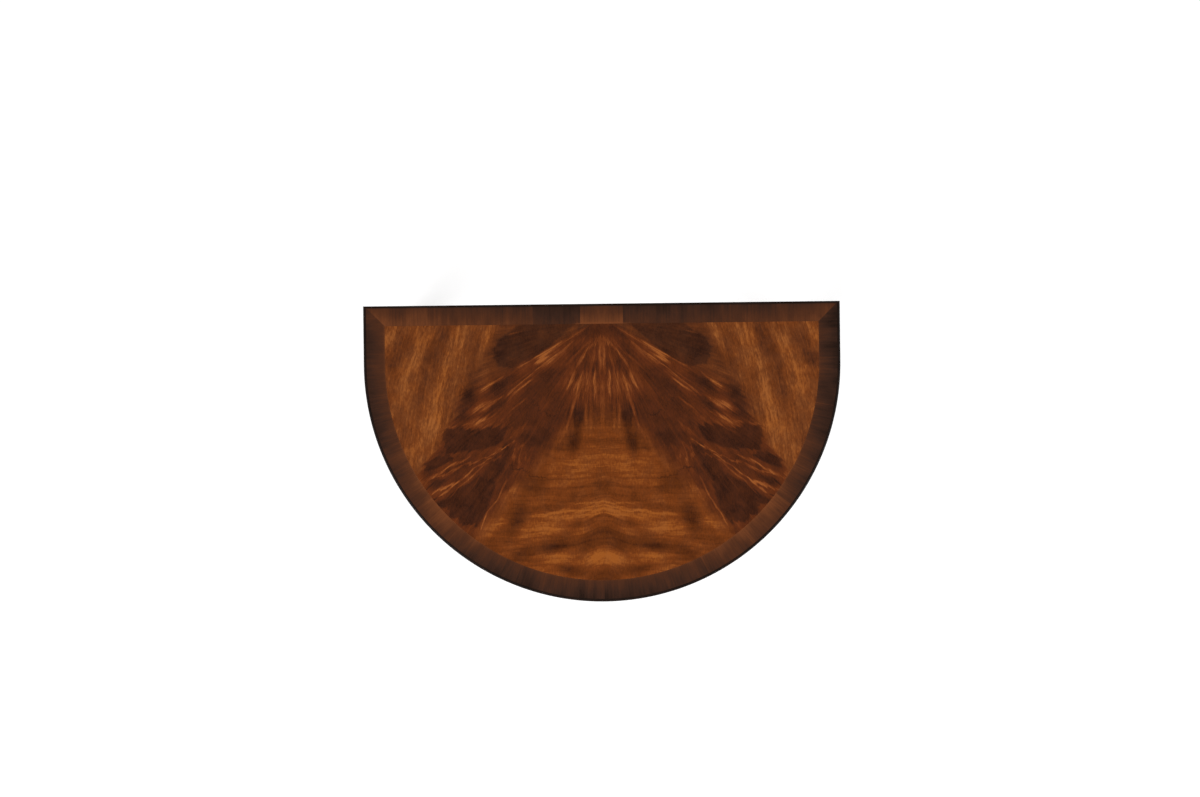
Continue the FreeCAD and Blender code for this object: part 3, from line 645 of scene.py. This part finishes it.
# Crossbanding: each piece's tone at its two ends, from the back centre outward or from the side forward
BAND_TONES = (
    (0.00, paint(37, 24, 18)),
    (0.30, paint(60, 37, 27)),
    (0.60, paint(82, 46, 28)),
    (1.00, paint(118, 66, 36)),
)
BACK_BANDS = {
    "back_band_centre": (0.66, 0.70),
    "back_band_inner_left": (0.31, 0.33),
    "back_band_inner_right": (0.33, 0.32),
    "back_band_outer_left": (0.50, 0.66),
    "back_band_outer_right": (0.32, 0.58),
}
BOW_BANDS = {
    "side_band_left": (0.46, 0.40),
    "side_band_right": (0.30, 0.26),
    "bow_band_left_1": (0.36, 0.62),
    "bow_band_left_2": (0.72, 0.40),
    "bow_band_left_3": (0.36, 0.36),
    "bow_band_right_1": (0.32, 0.50),
    "bow_band_right_2": (0.74, 0.58),
    "bow_band_right_3": (0.42, 0.34),
}
JOINT_TONES = {"bow_band_right_1": 0.34, "bow_band_right_3": 0.22}
PLAIN_JOINT_TONE = -0.10
JOINT_WIDTH = 1.3
EDGE_LINE_WIDTH = 3.4
BOW_EDGE_LINE = 0.08
BACK_EDGE_LINE = -0.05
CENTRE_EDGE_LINE = 0.45
CENTRE_EDGE_FADE = (30, 60)
# Painted shade: how much darker each band grows towards its outer edge
PAINTED_SHADE_OUTWARD = 0.36
# Painted shade along the outer edge of the back bands, next to the back lipping: its width and tone
RIM_WIDTH = 2.8
BACK_EDGE_SHADE_TONE = -0.5
BAND_WIDTH = (core_radius - leaf_radius) / MM
PIECE_STEP = 0.37


def crossband(finish, name, tones, ends, along, inward, edge_line, edge_shade_tone=0.0):
    """Dark straight-grained veneer, its grain square to the edge of the top, new on each piece, with
    painted shade towards its outer edge.
    """
    place = (along, inward, sum(map(ord, name)) * PIECE_STEP)
    fine = finish.grain(place, (2.6, 70, 1), 4.0, 0.7)
    patch = finish.grain(place, (22, 50, 1))
    pores = finish.grain(place, (0.6, 6, 1))
    blend = finish.ease(along, *ends, *tones)
    joint = finish.ease(along - ends[0], 0.0, JOINT_WIDTH, JOINT_TONES.get(name, PLAIN_JOINT_TONE), 0.0)
    edge = finish.ease(inward, 0.0, EDGE_LINE_WIDTH, 1.0, 0.0) * edge_line
    # Painted shade: a dark strip along the outer edge, used on the back bands
    rim = finish.ease(inward, BAND_WIDTH - RIM_WIDTH, BAND_WIDTH, 0.0, edge_shade_tone)
    # Painted shade: the band darker towards its outer edge
    shade = (0.5 - inward / BAND_WIDTH) * PAINTED_SHADE_OUTWARD
    tone = blend + shade + fine * 0.6 + patch * 0.6 + pores * 0.2 + joint + edge + rim
    colour = finish.ramp(tone, BAND_TONES)
    polished(finish, colour, 0.3 + patch * 0.1, pores + fine * 0.3, VENEER_RELIEF)
    return finish.owner


def back_band(name, tones):
    """A straight piece along the back."""
    finish = new_finish(f"crossband_{name}")
    low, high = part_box(name)
    reach = sorted(abs(x) / MM for x in (low.x, high.x))
    ends = (0.0, reach[1]) if low.x * high.x < 0 else reach
    x, y, _ = finish.parts(finish.place())
    x = abs(x)
    edge_line = finish.ease(x, *CENTRE_EDGE_FADE, CENTRE_EDGE_LINE, BACK_EDGE_LINE)
    return crossband(finish, name, tones, ends, x, y - low.y / MM, edge_line, BACK_EDGE_SHADE_TONE)


def bow_place(finish):
    """Millimetres round the bow from where it leaves the side, out from the bow's centre, and up."""
    x, own_y, z = finish.parts(finish.place())
    x = abs(x)
    y = bow_y / MM - own_y
    ahead = finish.maths("MAXIMUM", y, 0.0)
    behind = finish.maths("MINIMUM", y, 0.0)
    angle = finish.maths("ARCTAN2", ahead, x)
    out = finish.length(finish.vector(x, ahead))
    return behind + angle * (bow_radius / MM), out, z


def bow_reach(corner):
    """How far round the bow a point of the plan lies, in millimetres."""
    y = bow_y - corner.y
    return (min(y, 0.0) + bow_radius * math.atan2(max(y, 0.0), abs(corner.x))) / MM


def bow_band(name, tones):
    """A piece along a side or round the bow."""
    finish = new_finish(f"crossband_{name}")
    reach = [bow_reach(vertex.co) for vertex in nodes[name].data.vertices]
    ends = (min(reach), max(reach))
    along, out, _ = bow_place(finish)
    return crossband(finish, name, tones, ends, along, out - leaf_radius / MM, BOW_EDGE_LINE)


# Colours of solid and plain woods, from dark to light
EDGE_TONES = (
    (0.15, paint(14, 9, 7)),
    (0.50, paint(30, 18, 13)),
    (0.90, paint(60, 36, 23)),
)
LEG_TONES = (
    (0.10, paint(40, 20, 12)),
    (0.45, paint(70, 35, 19)),
    (0.70, paint(92, 48, 25)),
    (0.95, paint(122, 68, 34)),
)
PINE_TONES = (
    (0.10, paint(118, 78, 42)),
    (0.45, paint(164, 120, 72)),
    (0.75, paint(186, 146, 96)),
    (1.00, paint(204, 170, 122)),
)
BACKING_TONES = (
    (0.10, paint(84, 48, 28)),
    (0.50, paint(122, 76, 46)),
    (0.90, paint(150, 102, 66)),
)

# Wear and painted highlight: heights in millimetres, and how much paler the nose of the lipping is, partly
# from wear and partly a painted highlight
SCUFF_HEIGHT = 110.0
PAD_SCUFF_HEIGHT = 2.0
WEAR_AND_HIGHLIGHT_HEIGHT = (3.0, 9.0)
WEAR_AND_HIGHLIGHT_TONE = 0.10


def leg_wood():
    """Polished leg, scuffed and a little darker towards the floor."""
    finish = new_finish("leg_mahogany")
    place = finish.parts(finish.place())
    broad = finish.grain(place, (15.0, 15.0, 450.0))
    lines = finish.grain(place, (5.0, 5.0, 150.0), 3.0, 0.6)
    pores = finish.grain(place, (0.8, 0.8, 20.0))
    low = finish.ease(place[2], SCUFF_HEIGHT, 0.0)
    scuff = finish.ease(finish.grain(place, (7.0, 7.0, 12.0), 3.0, 0.6), 0.02, 0.14) * low
    # The leg goes a little darker towards the floor
    tone = 0.5 + broad * 0.6 + lines * 0.5 + pores * 0.2 + scuff * 0.2 - low * 0.12
    colour = finish.ramp(tone, LEG_TONES)
    height = pores + lines * 0.3 - scuff
    polished(finish, colour, 0.38 + broad * 0.2 + scuff * 0.25, height, LEG_RELIEF)
    return finish.owner


def frieze_wood():
    """Veneer on the apron: upright ribbons that sway, with faint ripples across them."""
    finish = new_finish("frieze_mahogany")
    along, _, z = bow_place(finish)
    sway = finish.grain((along, z), (70, 60)) * 16
    ribbon = finish.grain((along + sway, z), (9, 110), 4.0, 0.7)
    broad = finish.grain((along + sway, z), (40, 160), 1.0)
    ripple = finish.grain((along, z + sway), (45, 5))
    pores = finish.grain((along, z), (0.8, 14))
    tone = 0.52 + ribbon * 0.7 + broad * 0.6 + ripple * 0.3 + pores * 0.16
    colour = finish.ramp(tone, LEG_TONES)
    polished(finish, colour, 0.36 + broad * 0.2, pores + ribbon * 0.3, FRIEZE_RELIEF)
    return finish.owner


def edge_wood(name, straight):
    """Dark lipping or bead with its grain along the edge, the lipping's nose paler from wear and a painted
    highlight.
    """
    finish = new_finish(name)
    place = finish.parts(finish.place()) if straight else bow_place(finish)
    lines = finish.grain(place, (90.0, 1.6, 1.6), 3.0, 0.6)
    patch = finish.grain(place, (45.0, 30.0, 30.0))
    off_nose = abs(place[2] - (top_z - top_thickness / 2) / MM)
    # Painted highlight with wear: the lipping paler along the middle of its nose
    worn_and_highlight = finish.ease(off_nose, *WEAR_AND_HIGHLIGHT_HEIGHT, WEAR_AND_HIGHLIGHT_TONE, 0.0)
    tone = 0.42 + lines * 0.5 + patch * 0.5 + worn_and_highlight * (1 + patch * 4)
    colour = finish.ramp(tone, EDGE_TONES)
    polished(finish, colour, 0.55 + patch * 0.3, lines, FINE_RELIEF, EDGE_SHINE)
    return finish.owner


def bare_wood(name, tones, lengths, middle=0.5):
    """Unpolished inside wood: growth lines, saw marks across them and a few stains."""
    finish = new_finish(name)
    place = finish.parts(finish.place())
    broad = finish.grain(place, [length * 4 for length in lengths])
    lines = finish.grain(place, lengths, 3.0, 0.65)
    pores = finish.grain(place, [length * 0.2 for length in lengths])
    saw = finish.grain(place, (40.0, 40.0, 1.6))
    stain = finish.ease(finish.grain(place, (55.0, 55.0, 55.0)), 0.08, 0.22)
    tone = middle + broad * 0.35 + lines * 0.6 + pores * 0.2 - stain * 0.14
    height = lines + pores + saw * 0.8
    raw(finish, finish.ramp(tone, tones), 0.72 + lines * 0.2, height, SAWN_RELIEF)
    return finish.owner


# Bricks of the apron: their joints in degrees from the side forward, and what tells one from the next
ODD_BRICK_JOINTS = (13.5, 37.8, 66.6, 90.0)
EVEN_BRICK_JOINTS = (25.92, 47.52, 78.12)
GLUE_LINE_WIDTH = 0.7
FIRST_BRICK = 2.0
COURSE_STEP = 10
BRICK_SHIFT = 540


def brick_wood(course):
    """One course of the apron: each brick a little different, with dark glue lines between them."""
    finish = new_finish(f"brick_wood_{course}")
    place = bow_place(finish)
    along, out, z = place
    own_x, _, _ = finish.parts(finish.place())
    brick = finish.maths("SIGN", own_x) * (FIRST_BRICK + COURSE_STEP * course)
    glue = 0.0
    for degrees in ODD_BRICK_JOINTS if course % 2 else EVEN_BRICK_JOINTS:
        past = along - math.radians(degrees) * bow_radius / MM
        brick = brick + finish.maths("GREATER_THAN", past, 0.0)
        glue = glue + finish.ease(abs(past), 0.0, GLUE_LINE_WIDTH, 1.0, 0.0)
    shade = finish.node("TexWhiteNoise", {"noise_dimensions": "1D"}, {"W": brick}) - 0.5
    lines = finish.grain((along, out + shade * BRICK_SHIFT, z), (80, 6, 4), 3.0, 0.65)
    pores = finish.grain(place, (12, 1.2, 1))
    saw = finish.grain(place, (1.8, 30, 60))
    tone = 0.48 + shade * 0.34 + lines * 0.6 + pores * 0.2 - glue * 0.4
    height = lines + pores + saw * 0.8 - glue
    raw(finish, finish.ramp(tone, PINE_TONES), 0.74 + lines * 0.2, height, SAWN_RELIEF)
    return finish.owner


def worn_metal(name, clean, dull, roughness):
    """Plain metal, dulled in patches."""
    finish = new_finish(name)
    place = finish.parts(finish.place())
    patch = finish.grain(place, (2.5, 2.5, 2.5), 4.0, 0.6)
    scratch = finish.grain(place, (0.3, 3.0, 3.0))
    share = finish.ease(patch, -0.05, 0.2)
    bump = {"Height": scratch + patch, "Distance": FINE_RELIEF, "Strength": 0.5}
    inputs = {
        "Base Color": finish.mix(share, clean, dull),
        "Metallic": 1 - share * 0.5,
        "Roughness": roughness + share * 0.3 + scratch * 0.1,
        "Normal": finish.node("Bump", None, bump),
    }
    finish.output(finish.node("BsdfPrincipled", None, inputs))
    return finish.owner


def glide_plastic():
    """Dark moulded pads, scuffed where they slide on the floor."""
    finish = new_finish("glide_plastic")
    place = finish.parts(finish.place())
    speckle = finish.grain(place, (0.4, 0.4, 0.4))
    low = finish.ease(place[2], PAD_SCUFF_HEIGHT, 0.0)
    scuff = finish.grain(place, (1.2, 6.0, 2.0), 3.0) * low
    colour = finish.ramp(0.4 + speckle * 0.3 + scuff, EDGE_TONES)
    raw(finish, colour, 0.5 + scuff * 0.5, speckle + scuff, FINE_RELIEF)
    return finish.owner


# Edge lipping: a round-nosed strip bent round each half of the top, thinner by what rounding adds
NOSE_RADIUS = 4 * MM
ROUNDING = 0.002 * MM
NOSE_STEPS = 10
BEND_STEPS = 90
SMOOTH_ANGLE = math.radians(35)


def moulding_shape():
    """Sweeps a strip along a path with one bend. The strip's nose is on the left of the path."""
    sizes = ("Bend Radius", "Width", "Thickness", "Nose Radius")
    inputs = {"Path": "Geometry", **dict.fromkeys(sizes, "Float"), "Finish": "Material"}
    shape = Shape("moulding_along_path", inputs)
    path = shape.node("GeometryNodeMeshToCurve", None, {"Mesh": shape.given("Path")})
    bend = {"Curve": path, "Count": BEND_STEPS, "Radius": shape.given("Bend Radius")}
    path = shape.node("GeometryNodeFilletCurve", {"mode": "POLY"}, bend)
    path = shape.node("GeometryNodeSetCurveNormal", {"mode": "Z_UP"}, {"Curve": path})
    flat = {"Width": shape.given("Width"), "Height": shape.given("Thickness")}
    strip = shape.node("GeometryNodeCurvePrimitiveQuadrilateral", {"mode": "RECTANGLE"}, flat)
    across, _, _ = shape.parts(shape.node("GeometryNodeInputPosition"))
    radius = shape.maths("LESS_THAN", across, 0.0) * shape.given("Nose Radius")
    nose = {"Curve": strip, "Count": NOSE_STEPS, "Radius": radius}
    strip = shape.node("GeometryNodeFilletCurve", {"mode": "POLY"}, nose)
    sweep = {"Curve": path, "Profile Curve": strip, "Fill Caps": True}
    shape.end(shape.node("GeometryNodeCurveToMesh", None, sweep), shape.given("Finish"))
    return shape


def lipping_path(hand):
    """The middle line of one half's lipping, with the nose side on its left."""
    middle = (bow_radius + core_radius) / 2
    z = top_z - top_thickness / 2
    corners = [(middle, side_length), (middle, -middle), (0.0, -middle)]
    if hand == "left":
        corners = [(-x, y) for x, y in reversed(corners)]
    path = bpy.data.meshes.new(f"lipping_path_{hand}")
    path.from_pydata([(x, bow_y + y, z) for x, y in corners], [(0, 1), (1, 2)], [])
    return path


def make_lippings(material):
    """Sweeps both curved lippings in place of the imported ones."""
    shape = moulding_shape()
    for hand in HANDS:
        values = {
            "Bend Radius": (bow_radius + core_radius) / 2,
            "Width": bow_radius - core_radius,
            "Thickness": top_thickness - ROUNDING,
            "Nose Radius": NOSE_RADIUS,
            "Finish": material,
        }
        piece = shape.make(f"round_nosed_lipping_{hand}", lipping_path(hand), values)
        piece.data.set_sharp_from_angle(angle=SMOOTH_ANGLE)
        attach(piece, "root")
        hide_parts(f"edge_lipping_{hand}")


def dress(name, material):
    """Gives one node of the frame its finish."""
    slots = nodes[name].data.materials
    slots.clear()
    slots.append(material)


def dress_top():
    leaf = leaf_figure()
    for hand in HANDS:
        dress(f"veneer_leaf_{hand}", leaf)
    for name, tones in BACK_BANDS.items():
        dress(name, back_band(name, tones))
    for name, tones in BOW_BANDS.items():
        dress(name, bow_band(name, tones))
    edge = edge_wood("dark_edge", False)
    for hand in HANDS:
        dress(f"edge_lipping_{hand}", edge)
    make_lippings(edge)
    dress("edge_lipping_back", edge_wood("dark_back_edge", True))
    dress("top_core", bare_wood("core_board", PINE_TONES, (160.0, 5.0, 5.0)))
    dress("backing_veneer", bare_wood("backing_veneer", BACKING_TONES, (220.0, 5.0, 220.0)))


def dress_frame():
    leg = leg_wood()
    for row in ("front", "back"):
        for hand in HANDS:
            dress(f"{row}_leg_{hand}", leg)
    frieze = frieze_wood()
    bead = edge_wood("dark_bead", False)
    for run in ("left", "right", "front"):
        dress(f"frieze_veneer_{run}", frieze)
        dress(f"apron_bead_{run}", bead)
    dress("back_rail", bare_wood("rail_wood", PINE_TONES, (180.0, 6.0, 6.0), 0.42))
    dress("medial_rail", bare_wood("medial_wood", PINE_TONES, (6.0, 180.0, 6.0), 0.46))
    for course in range(1, 5):
        dress(f"apron_course_{course}", brick_wood(course))
    block = bare_wood("block_wood", PINE_TONES, (6.0, 90.0, 6.0), 0.56)
    upright = bare_wood("upright_block_wood", PINE_TONES, (6.0, 6.0, 90.0), 0.5)
    for hand in HANDS:
        dress(f"corner_block_{hand}", block)
        for where in ("side", "front", "rail"):
            dress(f"screw_block_{where}_{hand}", block)
        for where in ("side", "front"):
            dress(f"leg_block_{where}_{hand}", upright)


def dress_fittings():
    dress("top_screws", worn_metal("screw_steel", paint(176, 172, 164), paint(92, 78, 66), 0.34))
    dress("glide_nails", worn_metal("nail_steel", paint(168, 164, 158), paint(96, 84, 74), 0.38))
    dress("glide_pads", glide_plastic())


# The stage: a pale floor, soft light from all round, two large lamps by place and power, and the camera
FLOOR_SIZE = 60.0
FLOOR_WHITE = 0.55
FLOOR_GLOW = 0.62
SKY_HEIGHT = (0.35, 0.92)
SKY_LIGHT = (1.0, 0.03)
LAMP_SIZE = 3.0
LAMPS = {
    "left_lamp": ((-3.2, -2.6, 3.4), 150.0),
    "right_lamp": ((3.4, -1.4, 3.0), 90.0),
}
CAMERA_HEIGHT = 9.0
SENSOR_WIDTH = 36.0


def make_floor():
    """A pale floor that keeps the shadow, is brighter to look at, and is clear from below."""
    bpy.ops.mesh.primitive_plane_add(size=FLOOR_SIZE, location=(0.0, 0.0, 0.0))
    floor = bpy.context.object
    floor.name = "floor"
    finish = new_finish("pale_floor")
    rays = finish.node("LightPath", output="Is Camera Ray")
    seen = rays + rays.beside("Is Glossy Ray") + rays.beside("Is Transmission Ray")
    seen = finish.maths("MINIMUM", seen, 1.0)
    matt = finish.node("BsdfDiffuse", None, {"Color": (FLOOR_WHITE, FLOOR_WHITE, FLOOR_WHITE, 1.0)})
    glow = finish.node("Emission", None, {"Strength": FLOOR_GLOW})
    bright = finish.node("AddShader", None, {0: matt, 1: glow})
    lit = finish.node("MixShader", None, {0: seen, 1: matt, 2: bright})
    below = finish.node("NewGeometry", output="Backfacing")
    clear = finish.node("BsdfTransparent")
    finish.output(finish.node("MixShader", None, {0: below, 1: lit, 2: clear}))
    floor.data.materials.append(finish.owner)


def make_world():
    """Soft light that is bright near the horizon and dim straight above."""
    world = bpy.data.worlds.new("studio")
    bpy.context.scene.world = world
    finish = Finish(world)
    _, _, height = finish.parts(finish.node("TexCoord", output="Generated"))
    strength = finish.ease(height, *SKY_HEIGHT, *SKY_LIGHT)
    light = finish.node("Background", None, {"Color": (1.0, 1.0, 1.0, 1.0), "Strength": strength})
    finish.node("OutputWorld", None, {"Surface": light})


def make_lamp(name, place, power):
    """A round soft lamp aimed at the middle of the table."""
    data = bpy.data.lights.new(name, "AREA")
    data.shape = "DISK"
    data.size = LAMP_SIZE
    data.energy = power
    lamp = bpy.data.objects.new(name, data)
    lamp.location = place
    aim = Vector((0.0, 0.0, top_z / 2)) - lamp.location
    lamp.rotation_euler = aim.to_track_quat("-Z", "Y").to_euler()
    bpy.context.scene.collection.objects.link(lamp)


def make_camera():
    """Straight above the top, turned as the photograph is."""
    scale = 2 * bow_radius / TOP_WIDTH_PIXELS
    right = (PHOTO_WIDTH / 2 - BOW_CENTRE_PIXEL[0]) * scale
    up = (BOW_CENTRE_PIXEL[1] - PHOTO_HEIGHT / 2) * scale
    turn = -math.radians(PHOTO_TURN_DEGREES)
    x = right * math.cos(turn) - up * math.sin(turn)
    y = right * math.sin(turn) + up * math.cos(turn)
    data = bpy.data.cameras.new("camera")
    data.sensor_width = SENSOR_WIDTH
    data.lens = SENSOR_WIDTH * CAMERA_HEIGHT / (PHOTO_WIDTH * scale)
    camera = bpy.data.objects.new("camera", data)
    camera.location = (x, bow_y + y, top_z + CAMERA_HEIGHT)
    camera.rotation_euler = (0.0, 0.0, turn)
    bpy.context.scene.collection.objects.link(camera)
    bpy.context.scene.camera = camera


dress_top()
dress_frame()
dress_fittings()
make_floor()
make_world()
for name, (place, power) in LAMPS.items():
    make_lamp(name, place, power)
make_camera()
bpy.context.scene.view_settings.view_transform = "Standard"
